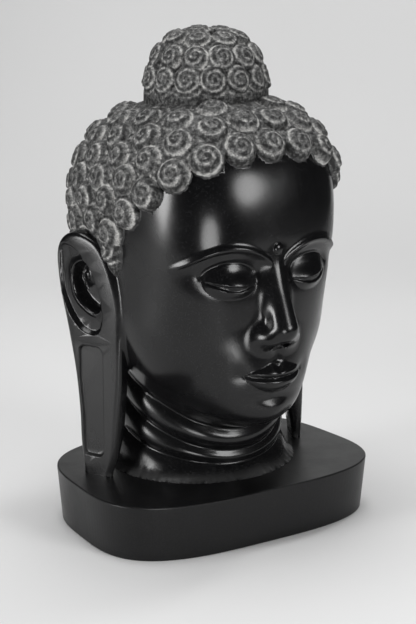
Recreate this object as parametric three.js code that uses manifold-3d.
// A carved stone buddha head on the block it was cut from, all one piece of stone.
// Millimetres, +Z up, the face looks along -Y, the origin is the middle of the underside.
// The head is laid out the way a carver's canon does it: on a scale of 408 parts from the top of
// the block to the tip of the topknot, so one part is a millimetre at the real size.

import * as THREE from "three";
import { mergeVertices } from "three/addons/utils/BufferGeometryUtils.js";
import Module from "manifold-3d";

// The block: a rounded slab, a little narrower at the back and at its foot.
const BASE_WIDTH = 288;
const BASE_DEPTH = 212;
const BASE_HEIGHT = 52;
const BASE_EDGE_ROUND = 1.5;
const BASE_TAPER = 4;
const BASE_SQUARENESS = 3.2;
const BASE_BACK_NARROWING = 0.1;
const BASE_SIDES = 72;

// The head: its height over the block, and how deep its foot runs into the block.
const HEAD_HEIGHT = 408;
const HEAD_ROOT = 12;
const CANON_PARTS = 408;

// How finely the carving is sampled, how many triangles its faceted solid keeps, and how much
// more closely it follows the face than the rest.
const CARVING_STEP = 3.2;
const CARVING_TRIANGLES = 9050;
const FACE_CARE = 2.5;

// From here down to the functions every length is in canon parts, measured up from the block.

// Face thirds: chin to nose base, nose base to brow and brow to hairline are equal.
const CHIN_Z = 54;
const FACE_THIRD = 81;
const NOSE_BASE_Z = CHIN_Z + FACE_THIRD;
const BROW_Z = NOSE_BASE_Z + FACE_THIRD;
const EYE_Z = BROW_Z - FACE_THIRD * 0.24;
const MOUTH_Z = CHIN_Z + FACE_THIRD * 0.66;
const FACE_HALF_WIDTH = 101;
const FACE_FRONT = 108;
const HEAD_BACK = 132;

// The middle of the crown, which the hair is laid out around.
const CROWN = [0, 14, 244];

// The masses of the bare head, each an ellipsoid (power 2) or a squarer one, blended in order.
const FACE_RADII = [FACE_HALF_WIDTH, FACE_FRONT - 10, 112];
const MASSES = [
  { name: "crown", centre: CROWN, radii: [105, HEAD_BACK - CROWN[1], 94], power: 2.4, blend: 0 },
  { name: "forehead", centre: [0, -20, 238], radii: [92, 86, 100], power: 2.8, blend: 22 },
  { name: "face", centre: [0, -10, 160], radii: FACE_RADII, power: 2, blend: 20 },
  { name: "occiput", centre: [0, 38, 178], radii: [90, 80, 92], power: 2, blend: 20 },
  { name: "chin", centre: [0, -62, CHIN_Z + 27], radii: [46, 41, 29], power: 2, blend: 30 },
  { name: "muzzle", centre: [0, 34 - FACE_FRONT, MOUTH_Z + 5], radii: [46, 34, 36], power: 2, blend: 24 },
];

// Brows, eyes, nose and mouth.
const BROW = { inner: 8, peak: 44, outer: 84, arch: 10, droop: 0.0105, height: 2.8, width: 3.2 };
const SOCKET = { x: 36, z: EYE_Z + 7, halfWidth: 28, halfHeight: 12, depth: 9 };
const EYE = { inner: 18, outer: 66, rise: 4, lidDrop: 3, opening: 4.5, bulge: 9, tall: 0.68, slit: 2.2 };
const NOSE = { rootReach: 97, rootRadius: 10, tipReach: 120, tipRadius: 13, blend: 9 };
const NOSE_WING = { x: 13, radius: 8 };
const NOSTRIL = { x: 8, behindTip: 7, z: NOSE_BASE_Z + 4, radius: 4, length: 5, depth: 6 };
const MOUTH = { halfWidth: 30, lift: 2.5, upper: 11, lower: 14, upperPout: 7, lowerPout: 8, line: 4 };
const PHILTRUM = { halfWidth: 5, depth: 1.6 };
const CHIN_BALL = { halfWidth: 17, halfHeight: 13, height: 4 };
const URNA = { z: BROW_Z + 7, radius: 5, height: 3 };
// The face's carving fades out at its sides, and is cut only this close to the bare head.
const FACE_SIDE = { start: 45, fade: 25, reach: 20 };

// Neck: an oval column with three tilted folds that spreads where it meets the block.
const NECK = { centreY: 15, halfWidth: 82, front: 77, back: 86, flare: 10, flareHeight: 7, blend: 8 };
const NECK_CREASES = [
  { z: 12, rise: 20 },
  { z: 24, rise: 38 },
  { z: 46, rise: 48 },
];
const CREASE = { depth: 6.5, width: 5, round: 1.5 };

// Ears: flat slabs turned outwards, the auricle over a long lobe that reaches the block.
const EAR = { stand: 9.4, y: 2.6, turnDeg: 24.9, thickness: 17, edge: 6, blend: 6 };
const EAR_LOBE_FOOT = -HEAD_ROOT;
const LOBE_THINNING = { from: 50, by: 8 };
const EAR_MIDDLE = [20, 107];
const EAR_SPAN = 134;
// Outline points are [along the slab, up], read round the slab.
const EAR_OUTLINE = [
  [25, EAR_LOBE_FOOT],
  [28, 8],
  [31, 31],
  [32, 60],
  [36, 98],
  [44, 140],
  [52, 176],
  [54, 208],
  [44, 224],
  [24, 226],
  [2, 212],
  [-14, 170],
  [-16, 110],
  [-12, 60],
  [-8, 20],
  [-3, 3],
  [-1, EAR_LOBE_FOOT],
];
const EAR_HOLLOW_RIM = [
  [8, 138],
  [27, 139],
  [44, 161],
  [50.5, 184],
  [50, 212],
  [36, 213],
  [20, 197],
  [5, 165],
];
const EAR_CONCHA = [
  [13, 156],
  [28, 165],
  [34, 178],
  [33, 194],
  [22, 198],
  [12, 180],
  [7, 164],
];
const EAR_RELIEF = { scapha: 4.5, scaphaWall: 4, concha: 9, conchaWall: 7, ridge: 3, ridgeWidth: 3 };
const LOBE_PANEL = { along: 17, top: 123, foot: 19, halfWidth: 13, depth: 3.5, softness: 1.5 };

// Hair: a cap over the crown, a topknot on it, and rows of snail-shell curls on both.
const HAIR_THICKNESS = 6;
const HAIR_TILT_DEG = 45;
const HAIRLINE_DEG = 109.5;
const CAP_EDGE_DEG = 104;
const WHORL_DEG = 75;
const CURL = { radius: 15.5, height: 12.5, pitch: 31, rowPitch: 24, fullness: 3 };
const KNOT = { y: 5, z: 340, radius: 52.5, halfHeight: 62.5, power: 2.8 };
const KNOT_CURL = { radius: 12.5, height: 6 };
const KNOT_ROWS = [
  { z: 364, count: 14 },
  { z: 383, count: 12 },
  { z: 397.5, count: 8 },
  { z: 402, count: 3 },
];
// In front of each ear the hair ends in a small pointed leaf with a curl on it.
const SIDEBURN = { x: 103, y: -6, z: 215, halfWidth: 12, halfHeight: 23, power: 1.5 };
const SIDEBURN_CURL = { radius: 10, height: 2.5 };

const degrees = THREE.MathUtils.degToRad;
const clamp = THREE.MathUtils.clamp;

// A rounded step from 0 to 1 over one unit.
function step(t) {
  const c = clamp(t, 0, 1);
  return c * c * (3 - 2 * c);
}

function bell(u, v = 0) {
  return Math.exp(-u * u - v * v);
}

// The union of two distances with a blend that is k wide.
function blend(a, b, k) {
  const h = Math.max(k - Math.abs(a - b), 0);
  return Math.min(a, b) - (h * h) / (4 * k);
}

function meet(a, b, k) {
  return -blend(-a, -b, k);
}

// The distance along the ray from an ellipsoid's centre; a power over 2 gives squarer shoulders.
function ellipsoid(x, y, z, centre, radii, power) {
  const dx = x - centre[0];
  const dy = y - centre[1];
  const dz = z - centre[2];
  const shares = Math.abs(dx / radii[0]) ** power + Math.abs(dy / radii[1]) ** power;
  const norm = (shares + Math.abs(dz / radii[2]) ** power) ** (1 / power);
  return norm > 1e-6 ? Math.hypot(dx, dy, dz) * (1 - 1 / norm) : -Math.min(...radii);
}

// A rod whose radius changes evenly from one end to the other.
function taperedRod(x, y, z, a, b, radiusA, radiusB) {
  const ab = [b[0] - a[0], b[1] - a[1], b[2] - a[2]];
  const ap = [x - a[0], y - a[1], z - a[2]];
  const length2 = ab[0] ** 2 + ab[1] ** 2 + ab[2] ** 2;
  const t = clamp((ap[0] * ab[0] + ap[1] * ab[1] + ap[2] * ab[2]) / length2, 0, 1);
  const off = Math.hypot(ap[0] - ab[0] * t, ap[1] - ab[1] * t, ap[2] - ab[2] * t);
  return off - radiusA - (radiusB - radiusA) * t;
}

// The bare head without features.
function skin(x, y, z) {
  let d = Infinity;
  for (const mass of MASSES) {
    const next = ellipsoid(x, y, z, mass.centre, mass.radii, mass.power);
    d = mass.blend > 0 ? blend(d, next, mass.blend) : Math.min(d, next);
  }
  return d;
}

function browLine(ax) {
  return BROW_Z + BROW.arch - BROW.droop * (ax - BROW.peak) ** 2;
}

// The height of the face's carving over the bare head, for one half of the face.
function faceRelief(ax, z) {
  let height = 0;
  const alongBrow = step((ax - BROW.inner + 4) / 6) * step((BROW.outer + 6 - ax) / 14);
  height += BROW.height * alongBrow * bell((z - browLine(ax)) / BROW.width);
  height -= SOCKET.depth * bell((ax - SOCKET.x) / SOCKET.halfWidth, (z - SOCKET.z) / SOCKET.halfHeight);

  const middle = (EYE.inner + EYE.outer) / 2;
  const halfEye = (EYE.outer - EYE.inner) / 2;
  const u = (ax - middle) / halfEye;
  const v = (z - EYE_Z) / (halfEye * EYE.tall);
  height += EYE.bulge * Math.max(0, 1 - u * u - v * v) ** 0.8;
  const t = (ax - EYE.inner) / (EYE.outer - EYE.inner);
  if (t > 0 && t < 1) {
    const belly = Math.sin(Math.PI * t);
    const upperLid = EYE_Z - 3 + EYE.rise * t - EYE.lidDrop * belly;
    const lowerLid = upperLid - EYE.opening * belly;
    height -= EYE.slit * step((z - lowerLid + 1) / 2) * step((upperLid + 1 - z) / 2) * belly ** 0.4;
  }

  const m = ax / MOUTH.halfWidth;
  if (m < 1.2) {
    const parting = MOUTH_Z + MOUTH.lift * m * m;
    const body = Math.max(0, 1 - m * m);
    const bow = 1.8 * bell((ax - 7) / 5) - 2.2 * bell(ax / 4);
    const p = (z - parting) / (MOUTH.upper * body + bow * body + 1);
    const q = (parting - z) / (MOUTH.lower * body ** 0.7 + 1);
    const upperLip = MOUTH.upperPout * Math.max(0, 1 - p * p);
    const lowerLip = MOUTH.lowerPout * Math.max(0, 1 - q * q) ** 0.8;
    height += (z > parting ? upperLip : lowerLip) * body ** 0.5;
    height -= MOUTH.line * bell((z - parting) / 2.5) * step((1.2 - m) / 0.3);
  }
  height -= 2.5 * bell((ax - MOUTH.halfWidth - 4) / 6, (z - MOUTH_Z - 3) / 6);
  height -= 3 * bell(ax / 20, (z - MOUTH_Z + MOUTH.lower + 6) / 6);
  const lipTop = MOUTH_Z + MOUTH.upper;
  const philtrum = step((z - lipTop) / 4) * step((NOSE_BASE_Z - z) / 4);
  height -= PHILTRUM.depth * bell(ax / PHILTRUM.halfWidth) * philtrum;
  height += CHIN_BALL.height * bell(ax / CHIN_BALL.halfWidth, (z - CHIN_Z - 18) / CHIN_BALL.halfHeight);
  const urna = Math.hypot(ax, z - URNA.z) / URNA.radius;
  height += URNA.height * Math.sqrt(Math.max(0, 1 - urna * urna));
  return height;
}

function nose(ax, y, z) {
  const tipZ = NOSE_BASE_Z + NOSE.tipRadius + 5;
  const root = [0, -NOSE.rootReach, BROW_Z - 4];
  const tip = [0, -NOSE.tipReach, tipZ];
  const bridge = taperedRod(ax, y, z, root, tip, NOSE.rootRadius, NOSE.tipRadius);
  const wingRadii = [NOSE_WING.radius, NOSE_WING.radius + 5, NOSE_WING.radius];
  const wingCentre = [NOSE_WING.x, 12 - NOSE.tipReach, NOSE_BASE_Z + NOSE_WING.radius + 1];
  return blend(bridge, ellipsoid(ax, y, z, wingCentre, wingRadii, 2), NOSE.blend);
}

function neck(x, y, z) {
  const dy = y - NECK.centreY;
  const halfDepth = dy < 0 ? NECK.front : NECK.back;
  const angle = Math.hypot(x / NECK.halfWidth, dy / halfDepth);
  const reach = Math.hypot(x, dy);
  const radius = reach / Math.max(angle, 1e-6);
  const backward = Math.min(1.3, 1 + dy / Math.max(reach, 1e-6));
  let swell = NECK.flare * Math.exp(-Math.max(z, 0) / NECK.flareHeight);
  for (const fold of NECK_CREASES) {
    const off = Math.hypot(z - fold.z - fold.rise * backward, CREASE.round) - CREASE.round;
    swell -= CREASE.depth * Math.exp(-off / CREASE.width);
  }
  return Math.max(reach - radius - swell, z - MOUTH_Z - 20);
}

// A closed curve through a few points, kept as straight runs.
function closedOutline(points) {
  const curve = new THREE.CatmullRomCurve3(
    points.map(([s, z]) => new THREE.Vector3(s, z, 0)),
    true,
    "centripetal",
  );
  return curve.getPoints(points.length * 4).slice(0, -1);
}

// The signed distance to a closed outline, negative inside.
function outlineDistance(outline, s, z) {
  let nearest = Infinity;
  let inside = false;
  for (let i = 0, j = outline.length - 1; i < outline.length; j = i++) {
    const a = outline[i];
    const b = outline[j];
    const ex = b.x - a.x;
    const ez = b.y - a.y;
    const wx = s - a.x;
    const wz = z - a.y;
    const t = clamp((wx * ex + wz * ez) / (ex * ex + ez * ez), 0, 1);
    nearest = Math.min(nearest, (wx - ex * t) ** 2 + (wz - ez * t) ** 2);
    if (a.y > z !== b.y > z && s < (ex * wz) / ez + a.x) {
      inside = !inside;
    }
  }
  return inside ? -Math.sqrt(nearest) : Math.sqrt(nearest);
}

const earOutline = closedOutline(EAR_OUTLINE);
const hollowRim = closedOutline(EAR_HOLLOW_RIM);
const concha = closedOutline(EAR_CONCHA);
const earX = FACE_HALF_WIDTH + EAR.stand;
const earTurn = degrees(EAR.turnDeg);

// How far the outer face of the ear is carved in (negative) or stands out.
function earRelief(s, z) {
  const rim = outlineDistance(hollowRim, s, z);
  const bowl = outlineDistance(concha, s, z);
  const ridge = EAR_RELIEF.ridge * bell((bowl - EAR_RELIEF.ridgeWidth) / EAR_RELIEF.ridgeWidth);
  const scapha = (EAR_RELIEF.scapha - ridge) * step(0.5 - rim / EAR_RELIEF.scaphaWall);
  const middle = (LOBE_PANEL.top + LOBE_PANEL.foot) / 2;
  const overZ = Math.abs(z - middle) - (LOBE_PANEL.top - LOBE_PANEL.foot) / 2 + LOBE_PANEL.halfWidth / 2;
  const overS = Math.abs(s - LOBE_PANEL.along) - LOBE_PANEL.halfWidth / 2;
  const panel = Math.hypot(Math.max(overZ, 0), Math.max(overS, 0)) - LOBE_PANEL.halfWidth / 2;
  return (
    -scapha -
    EAR_RELIEF.concha * step(0.5 - bowl / EAR_RELIEF.conchaWall) -
    LOBE_PANEL.depth * step(0.5 - panel / LOBE_PANEL.softness)
  );
}

function ear(ax, y, z) {
  const dx = ax - earX;
  const dy = y - EAR.y;
  const s = dx * Math.sin(earTurn) + dy * Math.cos(earTurn);
  const w = dx * Math.cos(earTurn) - dy * Math.sin(earTurn);
  const far = Math.hypot(s - EAR_MIDDLE[0], w, z - EAR_MIDDLE[1]) - EAR_SPAN;
  if (far > 30) {
    return far;
  }
  const thickness = EAR.thickness - LOBE_THINNING.by * step(1 - z / LOBE_THINNING.from);
  const face = w - (w > -EAR.thickness ? earRelief(s, z) : 0);
  return meet(outlineDistance(earOutline, s, z), Math.max(face, -thickness - w), EAR.edge);
}

const hairAxis = new THREE.Vector3(0, Math.sin(degrees(HAIR_TILT_DEG)), Math.cos(degrees(HAIR_TILT_DEG)));
const hairSide = new THREE.Vector3(1, 0, 0);
const hairFront = new THREE.Vector3().crossVectors(hairSide, hairAxis).negate();
const hairCentre = new THREE.Vector3(...CROWN);

// The point of the bare head on the ray from the hair's centre, at an angle from the whorl.
function headPoint(polar, around) {
  const direction = hairAxis
    .clone()
    .multiplyScalar(Math.cos(polar))
    .addScaledVector(hairFront, Math.sin(polar) * Math.cos(around))
    .addScaledVector(hairSide, Math.sin(polar) * Math.sin(around));
  let near = 0;
  let far = HEAD_BACK * 2;
  while (far - near > 0.05) {
    const reach = (near + far) / 2;
    const p = direction.clone().multiplyScalar(reach).add(hairCentre);
    if (skin(p.x, p.y, p.z) < 0) {
      near = reach;
    } else {
      far = reach;
    }
  }
  return direction.multiplyScalar(near).add(hairCentre);
}

// The outward direction of a distance field at a point.
function outward(field, p) {
  const d = 0.5;
  return new THREE.Vector3(
    field(p.x + d, p.y, p.z) - field(p.x - d, p.y, p.z),
    field(p.x, p.y + d, p.z) - field(p.x, p.y - d, p.z),
    field(p.x, p.y, p.z + d) - field(p.x, p.y, p.z - d),
  ).normalize();
}

// Adds a curl and its twin on the other side of the head, or one curl on the middle line.
function addPair(curls, p) {
  if (p.x < CURL.radius / 2) {
    curls.push(new THREE.Vector3(0, p.y, p.z));
  } else {
    curls.push(p, new THREE.Vector3(-p.x, p.y, p.z));
  }
}

// Rows of curls follow the hairline, each one row pitch further up the head than the last.
function capCurls() {
  const turns = 48;
  const meridians = [];
  for (let i = 0; i <= turns; i++) {
    const around = (Math.PI * i) / turns;
    const line = [];
    let run = 0;
    let last = headPoint(degrees(HAIRLINE_DEG), around);
    for (let polar = HAIRLINE_DEG; polar > 0; polar -= 2) {
      const p = headPoint(degrees(polar), around);
      run += p.distanceTo(last);
      line.push({ run, p });
      last = p;
    }
    meridians.push(line);
  }
  const curls = [];
  for (let row = 0; ; row++) {
    const height = CURL.radius * 0.9 + row * CURL.rowPitch;
    const loop = [];
    for (const line of meridians) {
      const k = line.findIndex((station) => station.run >= height);
      if (k > 0) {
        const t = (height - line[k - 1].run) / (line[k].run - line[k - 1].run);
        loop.push(line[k - 1].p.clone().lerp(line[k].p, t));
      }
    }
    if (loop.length < 4) {
      break;
    }
    const runs = [0];
    for (let i = 1; i < loop.length; i++) {
      runs.push(runs[i - 1] + loop[i].distanceTo(loop[i - 1]));
    }
    const whole = runs[runs.length - 1];
    const count = Math.max(1, Math.round(whole / CURL.pitch));
    const offset = row % 2 ? 0.5 : 0;
    for (let j = 0; j + offset <= count; j++) {
      const run = ((j + offset) * whole) / count;
      const k = Math.max(1, runs.findIndex((r) => r >= run - 1e-6));
      const p = loop[k - 1].clone().lerp(loop[k], (run - runs[k - 1]) / (runs[k] - runs[k - 1]));
      addPair(curls, p);
    }
  }
  // Where the rows close up round the whorl, curls fill what they leave open.
  for (let polar = 0; polar < WHORL_DEG; polar += 5) {
    for (let around = 0; around <= 180; around += 5) {
      const p = headPoint(degrees(polar), degrees(around));
      if (curls.every((q) => q.distanceTo(p) > CURL.rowPitch)) {
        addPair(curls, p);
      }
    }
  }
  return curls;
}

function knot(x, y, z) {
  const radii = [KNOT.radius, KNOT.radius, KNOT.halfHeight];
  return ellipsoid(Math.hypot(x, y - KNOT.y), 0, z, [0, 0, KNOT.z], radii, KNOT.power);
}

function sideburn(ax, y, z) {
  const radii = [SIDEBURN.halfWidth, SIDEBURN.halfWidth, SIDEBURN.halfHeight];
  return ellipsoid(ax, y, z, [SIDEBURN.x, SIDEBURN.y, SIDEBURN.z], radii, SIDEBURN.power);
}

function knotCurls() {
  const curls = [];
  KNOT_ROWS.forEach(({ z, count }, row) => {
    const share = Math.abs((z - KNOT.z) / KNOT.halfHeight) ** KNOT.power;
    const radius = KNOT.radius * (1 - share) ** (1 / KNOT.power);
    for (let i = 0; i < count; i++) {
      const angle = (2 * Math.PI * (i + (row % 2) / 2)) / count;
      curls.push(new THREE.Vector3(radius * Math.sin(angle), KNOT.y - radius * Math.cos(angle), z));
    }
  });
  return curls;
}

const onCap = capCurls()
  .filter((p) => knot(p.x, p.y, p.z + HAIR_THICKNESS) > CURL.radius * 0.35)
  .filter((p) => ear(Math.abs(p.x), p.y, p.z) > 0)
  .map((centre) => ({ centre, normal: outward(skin, centre) }));
const onSideburn = [
  {
    centre: new THREE.Vector3(SIDEBURN.x + SIDEBURN.halfWidth, SIDEBURN.y, SIDEBURN.z),
    normal: new THREE.Vector3(1, 0, 0),
  },
];
const onKnot = knotCurls().map((centre) => ({ centre, normal: outward(knot, centre) }));

// The height of the tallest curl over a surface at a point, zero between curls.
function curlHeight(curls, size, x, y, z) {
  let least = 1;
  for (const { centre, normal } of curls) {
    const dx = x - centre.x;
    const dy = y - centre.y;
    const dz = z - centre.z;
    const d2 = dx * dx + dy * dy + dz * dz;
    if (d2 < (2 * size.radius) ** 2) {
      const along = dx * normal.x + dy * normal.y + dz * normal.z;
      least = Math.min(least, (d2 - along * along) / (size.radius * size.radius));
    }
  }
  return size.height * Math.sqrt(1 - least ** (CURL.fullness / 2));
}

function hair(x, y, z, bare) {
  const reach = Math.hypot(x - hairCentre.x, y - hairCentre.y, z - hairCentre.z);
  const along = x * hairAxis.x + (y - hairCentre.y) * hairAxis.y + (z - hairCentre.z) * hairAxis.z;
  const hairline = reach * Math.cos(degrees(CAP_EDGE_DEG)) - along;
  let cap = meet(bare - HAIR_THICKNESS, hairline, 3);
  if (bare > -4 && bare < 20) {
    const rise = curlHeight(onCap, CURL, x, y, z);
    cap = rise > 0 ? Math.min(cap, bare - rise) : cap;
  }
  let top = knot(x, y, z);
  if (top > -4 && top < 20 && z > KNOT.z) {
    top -= curlHeight(onKnot, KNOT_CURL, x, y, z);
  }
  const ax = Math.abs(x);
  const leaf = sideburn(ax, y, z);
  const raised = leaf > -4 && leaf < 8 ? curlHeight(onSideburn, SIDEBURN_CURL, ax, y, z) : 0;
  return Math.min(cap, top, leaf - raised);
}

// The whole head in canon parts: negative inside the stone.
function head(x, y, z) {
  const ax = Math.abs(x);
  const bare = skin(x, y, z);
  let d = bare;
  if (y < -FACE_SIDE.start && Math.abs(bare) < FACE_SIDE.reach) {
    d -= faceRelief(ax, z) * step((-FACE_SIDE.start - y) / FACE_SIDE.fade);
  }
  if (y < -60) {
    d = blend(d, nose(ax, y, z), NOSE.blend);
    const nostril = [NOSTRIL.x, NOSTRIL.behindTip - NOSE.tipReach, NOSTRIL.z];
    d = meet(d, -ellipsoid(ax, y, z, nostril, [NOSTRIL.radius, NOSTRIL.length, NOSTRIL.depth], 2), 1);
  }
  d = blend(d, neck(x, y, z), NECK.blend);
  d = blend(d, ear(ax, y, z), EAR.blend);
  d = Math.min(d, hair(x, y, z, bare));
  return Math.max(d, -HEAD_ROOT - z);
}

// The six tetrahedra of a cube round its long diagonal, by corner number (x is 1, y is 2, z is 4).
const TETRAHEDRA = [
  [0, 1, 3, 7],
  [0, 3, 2, 7],
  [0, 2, 6, 7],
  [0, 6, 4, 7],
  [0, 4, 5, 7],
  [0, 5, 1, 7],
];

// The surface where a field is zero, as a closed triangle mesh on a grid of tetrahedra.
function polygonise(field, low, high, size) {
  const counts = low.map((v, i) => Math.ceil((high[i] - v) / size / 4) * 4 + 1);
  const [nx, ny, nz] = counts;
  const values = new Float32Array(nx * ny * nz).fill(NaN);
  const at = (i, j, k) => (k * ny + j) * nx + i;
  const valueAt = (i, j, k) => {
    const index = at(i, j, k);
    if (Number.isNaN(values[index])) {
      const v = field(low[0] + i * size, low[1] + j * size, low[2] + k * size);
      values[index] = Math.abs(v) < size * 0.03 ? (v < 0 ? -size : size) * 0.03 : v;
    }
    return values[index];
  };
  const positions = [];
  const triangles = [];
  const vertexOfEdge = new Map();
  const corner = (c, i, j, k) => [i + (c & 1), j + ((c >> 1) & 1), k + (c >> 2)];
  const crossing = (a, b, i, j, k) => {
    const [from, to] = a < b ? [a, b] : [b, a];
    const p = corner(from, i, j, k);
    const q = corner(to, i, j, k);
    const key = at(...p) * 8 + (to - from);
    if (!vertexOfEdge.has(key)) {
      const va = valueAt(...p);
      const t = va / (va - valueAt(...q));
      vertexOfEdge.set(key, positions.length / 3);
      for (let axis = 0; axis < 3; axis++) {
        positions.push(low[axis] + size * (p[axis] + (q[axis] - p[axis]) * t));
      }
    }
    return vertexOfEdge.get(key);
  };
  const cube = (i, j, k) => {
    const v = [];
    let below = 0;
    for (let c = 0; c < 8; c++) {
      v.push(valueAt(...corner(c, i, j, k)));
      below += v[c] < 0;
    }
    if (below === 0 || below === 8) {
      return;
    }
    for (const tetrahedron of TETRAHEDRA) {
      const inside = tetrahedron.filter((c) => v[c] < 0);
      const outside = tetrahedron.filter((c) => v[c] >= 0);
      if (!inside.length || !outside.length) {
        continue;
      }
      const order = [...inside, ...outside].map((c) => tetrahedron.indexOf(c));
      let swaps = 0;
      for (let a = 0; a < 4; a++) {
        for (let b = a + 1; b < 4; b++) {
          swaps += order[a] > order[b];
        }
      }
      let ring;
      if (inside.length === 2) {
        ring = [
          [inside[0], outside[0]],
          [inside[0], outside[1]],
          [inside[1], outside[1]],
          [inside[1], outside[0]],
        ];
      } else if (inside.length === 1) {
        ring = outside.map((c) => [inside[0], c]);
      } else {
        ring = inside.map((c) => [c, outside[0]]);
      }
      const loop = ring.map(([a, b]) => crossing(a, b, i, j, k));
      if (swaps % 2) {
        loop.reverse();
      }
      triangles.push(loop[0], loop[1], loop[2]);
      if (loop.length === 4) {
        triangles.push(loop[0], loop[2], loop[3]);
      }
    }
  };
  const reach = size * 4 * 0.87 * 1.6 + 9;
  for (let k = 0; k < nz - 1; k += 4) {
    for (let j = 0; j < ny - 1; j += 4) {
      for (let i = 0; i < nx - 1; i += 4) {
        if (Math.abs(valueAt(i + 2, j + 2, k + 2)) > reach) {
          continue;
        }
        for (let c = 0; c < 64; c++) {
          cube(i + (c & 3), j + ((c >> 2) & 3), k + (c >> 4));
        }
      }
    }
  }
  return { positions: new Float64Array(positions), triangles };
}

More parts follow.
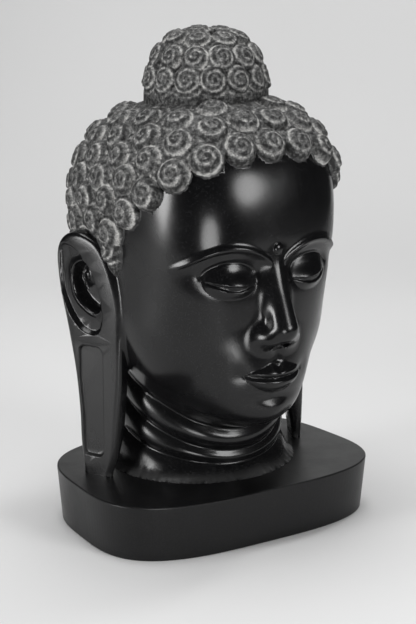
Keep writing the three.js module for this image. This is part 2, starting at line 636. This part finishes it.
// Collapses the edges that change the form least until the mesh is down to a number of triangles.
// The cost of a collapse is the summed squared distance to the planes of the faces it stands for,
// times the care that the place asks for.
function simplify(mesh, target, careAt) {
  const { positions } = mesh;
  const faces = Int32Array.from(mesh.triangles);
  const vertexCount = positions.length / 3;
  const around = Array.from({ length: vertexCount }, () => []);
  const quadrics = new Float64Array(vertexCount * 10);
  const version = new Float64Array(vertexCount);
  const at = (v) => [positions[v * 3], positions[v * 3 + 1], positions[v * 3 + 2]];
  const care = Float64Array.from({ length: vertexCount }, (_, v) => careAt(at(v)));
  const crossOf = (p, q, r) => [
    (q[1] - p[1]) * (r[2] - p[2]) - (q[2] - p[2]) * (r[1] - p[1]),
    (q[2] - p[2]) * (r[0] - p[0]) - (q[0] - p[0]) * (r[2] - p[2]),
    (q[0] - p[0]) * (r[1] - p[1]) - (q[1] - p[1]) * (r[0] - p[0]),
  ];
  let alive = faces.length / 3;
  for (let f = 0; f < faces.length / 3; f++) {
    const corners = [faces[f * 3], faces[f * 3 + 1], faces[f * 3 + 2]];
    const [p, q, r] = corners.map(at);
    const n = crossOf(p, q, r);
    const length = Math.hypot(...n) || 1e-12;
    const [a, b, c] = n.map((v) => v / length);
    const d = -(a * p[0] + b * p[1] + c * p[2]);
    const plane = [a * a, a * b, a * c, a * d, b * b, b * c, b * d, c * c, c * d, d * d];
    for (const v of corners) {
      around[v].push(f);
      for (let i = 0; i < 10; i++) {
        quadrics[v * 10 + i] += plane[i] * length;
      }
    }
  }

  const costAt = (q, [x, y, z]) =>
    q[0] * x * x + 2 * q[1] * x * y + 2 * q[2] * x * z + 2 * q[3] * x + q[4] * y * y +
    2 * q[5] * y * z + 2 * q[6] * y + q[7] * z * z + 2 * q[8] * z + q[9];
  const planned = (u, v) => {
    const q = new Float64Array(10);
    for (let i = 0; i < 10; i++) {
      q[i] = quadrics[u * 10 + i] + quadrics[v * 10 + i];
    }
    const p = at(u);
    const r = at(v);
    const middle = p.map((value, i) => (value + r[i]) / 2);
    const span = Math.hypot(p[0] - r[0], p[1] - r[1], p[2] - r[2]);
    const options = [middle, p, r];
    const m = [q[4] * q[7] - q[5] * q[5], q[2] * q[5] - q[1] * q[7], q[1] * q[5] - q[2] * q[4]];
    const det = q[0] * m[0] + q[1] * m[1] + q[2] * m[2];
    const size = (q[0] + q[4] + q[7]) ** 3;
    if (Math.abs(det) > 1e-5 * size) {
      const best = [
        -(q[3] * m[0] + q[6] * m[1] + q[8] * m[2]) / det,
        -(q[3] * m[1] + q[6] * (q[0] * q[7] - q[2] * q[2]) + q[8] * (q[1] * q[2] - q[0] * q[5])) / det,
        -(q[3] * m[2] + q[6] * (q[1] * q[2] - q[0] * q[5]) + q[8] * (q[0] * q[4] - q[1] * q[1])) / det,
      ];
      if (Math.hypot(best[0] - middle[0], best[1] - middle[1], best[2] - middle[2]) < 2 * span) {
        options.push(best);
      }
    }
    let chosen = null;
    for (const point of options) {
      const cost = costAt(q, point);
      if (!chosen || cost < chosen.cost) {
        chosen = { cost, point };
      }
    }
    const cost = (chosen.cost + 1e-6 * span * span) * Math.max(care[u], care[v]);
    return { u, v, cost, point: chosen.point, stamp: version[u] + version[v] };
  };

  const heap = [];
  const push = (item) => {
    let i = heap.push(item) - 1;
    while (i > 0) {
      const up = (i - 1) >> 1;
      if (heap[up].cost <= item.cost) {
        break;
      }
      heap[i] = heap[up];
      i = up;
    }
    heap[i] = item;
  };
  const pop = () => {
    const top = heap[0];
    const last = heap.pop();
    if (heap.length) {
      let i = 0;
      for (let child = 1; child < heap.length; child = 2 * i + 1) {
        if (child + 1 < heap.length && heap[child + 1].cost < heap[child].cost) {
          child++;
        }
        if (heap[child].cost >= last.cost) {
          break;
        }
        heap[i] = heap[child];
        i = child;
      }
      heap[i] = last;
    }
    return top;
  };
  for (let f = 0; f < faces.length; f += 3) {
    for (let i = 0; i < 3; i++) {
      const u = faces[f + i];
      const v = faces[f + ((i + 1) % 3)];
      if (u < v) {
        push(planned(u, v));
      }
    }
  }

  const neighbours = (v) => {
    const ring = new Set();
    for (const f of around[v]) {
      for (let i = 0; i < 3; i++) {
        ring.add(faces[f * 3 + i]);
      }
    }
    ring.delete(v);
    return ring;
  };
  const wouldFold = (v, other, point) => {
    for (const f of around[v]) {
      const corners = [faces[f * 3], faces[f * 3 + 1], faces[f * 3 + 2]];
      if (corners.includes(other)) {
        continue;
      }
      const ends = corners.map((c) => (c === v ? point : at(c)));
      const before = crossOf(...corners.map(at));
      const after = crossOf(...ends);
      const dot = before[0] * after[0] + before[1] * after[1] + before[2] * after[2];
      const afterSize = Math.hypot(...after);
      let longest = 0;
      for (let i = 0; i < 3; i++) {
        const [p, q] = [ends[i], ends[(i + 1) % 3]];
        longest = Math.max(longest, (p[0] - q[0]) ** 2 + (p[1] - q[1]) ** 2 + (p[2] - q[2]) ** 2);
      }
      if (dot <= 0.25 * Math.hypot(...before) * afterSize || afterSize < 0.03 * longest) {
        return true;
      }
    }
    return false;
  };
  while (alive > target && heap.length) {
    const { u, v, point, stamp } = pop();
    if (version[u] < 0 || version[v] < 0 || stamp !== version[u] + version[v]) {
      continue;
    }
    const ringU = neighbours(u);
    const ringV = neighbours(v);
    let shared = 0;
    for (const w of ringU) {
      shared += ringV.has(w);
    }
    if (!ringU.has(v) || shared !== 2 || wouldFold(u, v, point) || wouldFold(v, u, point)) {
      continue;
    }
    positions.set(point, u * 3);
    for (let i = 0; i < 10; i++) {
      quadrics[u * 10 + i] += quadrics[v * 10 + i];
    }
    for (const f of around[v]) {
      const slot = [0, 1, 2].find((i) => faces[f * 3 + i] === v);
      if ([0, 1, 2].some((i) => faces[f * 3 + i] === u)) {
        for (let i = 0; i < 3; i++) {
          const w = faces[f * 3 + i];
          if (w !== v) {
            around[w].splice(around[w].indexOf(f), 1);
          }
        }
        faces[f * 3] = -1;
        alive--;
      } else {
        faces[f * 3 + slot] = u;
        around[u].push(f);
      }
    }
    version[v] = -1;
    around[v] = [];
    version[u] += 2 * vertexCount + 1;
    for (const w of neighbours(u)) {
      push(planned(Math.min(u, w), Math.max(u, w)));
    }
  }

  const renumbered = new Map();
  const kept = [];
  const indices = [];
  for (let f = 0; f < faces.length; f += 3) {
    if (faces[f] < 0) {
      continue;
    }
    for (let i = 0; i < 3; i++) {
      const v = faces[f + i];
      if (!renumbered.has(v)) {
        renumbered.set(v, kept.length / 3);
        kept.push(...at(v));
      }
      indices.push(renumbered.get(v));
    }
  }
  return { positions: kept, triangles: indices };
}

// The block: a superellipse slab with rounded rims, drawn in towards its underside and its back.
function blockGeometry() {
  const outline = [];
  for (let i = 0; i < BASE_SIDES; i++) {
    const angle = (2 * Math.PI * i) / BASE_SIDES;
    const [c, s] = [Math.cos(angle), Math.sin(angle)];
    const x = (BASE_WIDTH / 2) * Math.sign(c) * Math.abs(c) ** (2 / BASE_SQUARENESS);
    const y = (BASE_DEPTH / 2) * Math.sign(s) * Math.abs(s) ** (2 / BASE_SQUARENESS);
    outline.push(new THREE.Vector2(x * (1 - (BASE_BACK_NARROWING * y) / BASE_DEPTH), y));
  }
  const geometry = new THREE.ExtrudeGeometry(new THREE.Shape(outline), {
    depth: BASE_HEIGHT - 2 * BASE_EDGE_ROUND,
    bevelThickness: BASE_EDGE_ROUND,
    bevelSize: BASE_EDGE_ROUND,
    bevelOffset: -BASE_EDGE_ROUND,
    bevelSegments: 2,
  }).translate(0, 0, BASE_EDGE_ROUND);
  const position = geometry.getAttribute("position");
  for (let i = 0; i < position.count; i++) {
    const lean = BASE_TAPER * (1 - position.getZ(i) / BASE_HEIGHT);
    position.setX(i, position.getX(i) * (1 - lean / (BASE_WIDTH / 2)));
    position.setY(i, position.getY(i) * (1 - lean / (BASE_DEPTH / 2)));
  }
  return geometry;
}

// The carved head as a geometry in millimetres, standing on the block's top.
function headGeometry() {
  const half = FACE_HALF_WIDTH + EAR.stand + EAR.thickness + CURL.radius;
  // The grid's levels miss the root's flat foot, which would otherwise come out as many slivers.
  const low = [-half, -NOSE.tipReach - NOSE.tipRadius - CARVING_STEP, -HEAD_ROOT - 1.4 * CARVING_STEP];
  const top = KNOT.z + KNOT.halfHeight + KNOT_CURL.height;
  const high = [half, HEAD_BACK + CURL.height + CARVING_STEP, top + CARVING_STEP];
  const faceTop = URNA.z + 25;
  const careAt = ([x, y, z]) => {
    const between = Math.abs(x) < EYE.outer + 10 && z > CHIN_Z && z < faceTop;
    return y < -FACE_SIDE.start && between ? FACE_CARE : 1;
  };
  const mesh = simplify(polygonise(head, low, high, CARVING_STEP), CARVING_TRIANGLES, careAt);
  const part = HEAD_HEIGHT / CANON_PARTS;
  return new THREE.BufferGeometry()
    .setAttribute("position", new THREE.Float32BufferAttribute(mesh.positions, 3))
    .setIndex(mesh.triangles)
    .scale(part, part, part)
    .translate(0, 0, BASE_HEIGHT);
}

const wasm = await Module();
wasm.setup();

function solidOf(geometry) {
  geometry.deleteAttribute("normal");
  geometry.deleteAttribute("uv");
  const merged = mergeVertices(geometry, 1e-4);
  const mesh = new wasm.Mesh({
    numProp: 3,
    vertProperties: merged.getAttribute("position").array,
    triVerts: new Uint32Array(merged.index.array),
  });
  return new wasm.Manifold(mesh);
}

function geometryOf(solid) {
  const mesh = solid.getMesh();
  return new THREE.BufferGeometry()
    .setAttribute("position", new THREE.BufferAttribute(new Float32Array(mesh.vertProperties), 3))
    .setIndex(new THREE.BufferAttribute(new Uint32Array(mesh.triVerts), 1));
}

const blackStone = new THREE.MeshStandardMaterial({ color: 0x1b1b1c, roughness: 0.32, metalness: 0 });
const carved = geometryOf(solidOf(headGeometry()).add(solidOf(blockGeometry())));
carved.computeVertexNormals();

const buddhaHead = new THREE.Mesh(carved, blackStone);
buddhaHead.name = "buddha_head";

const object = new THREE.Group();
object.add(buddhaHead);

export default object;
